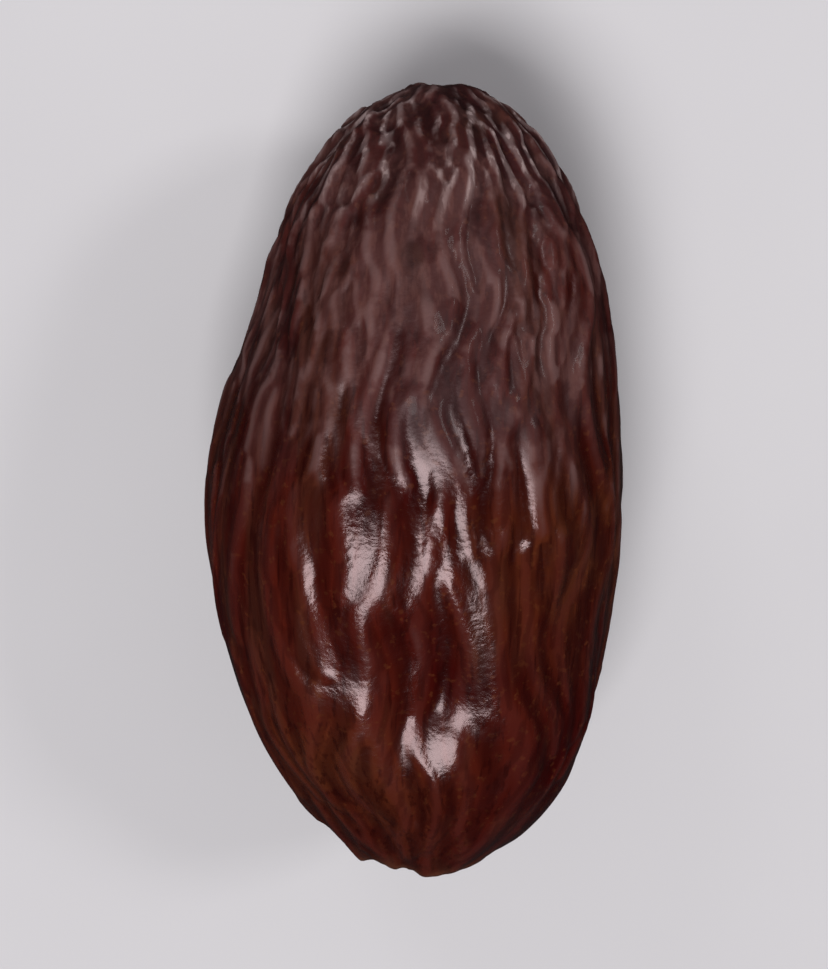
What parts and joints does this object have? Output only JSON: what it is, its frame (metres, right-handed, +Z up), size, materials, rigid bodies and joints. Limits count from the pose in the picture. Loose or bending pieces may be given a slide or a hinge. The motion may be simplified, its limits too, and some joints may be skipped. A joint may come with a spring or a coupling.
{
  "type": "dried jujube",
  "caption": "Dried jujube fruit lying on its side: a plump oval with a dark red-brown, pleated skin, a puckered tip and a stalk scar in a shallow cup.",
  "frame": {"origin": "on the surface that the fruit lies on, under the middle of its outline", "axes": "+Z up, +Y along the fruit towards its tip, with the stem end at -Y"},
  "size_m": [0.0128, 0.0242, 0.0117],
  "materials": {
    "skin": "dark red-brown dried fruit skin, satin and glossier on its smoother half, with paler crests on the pleats"
  },
  "bodies": {
    "root": {"jujube": "skin"}
  },
  "joints": []
}
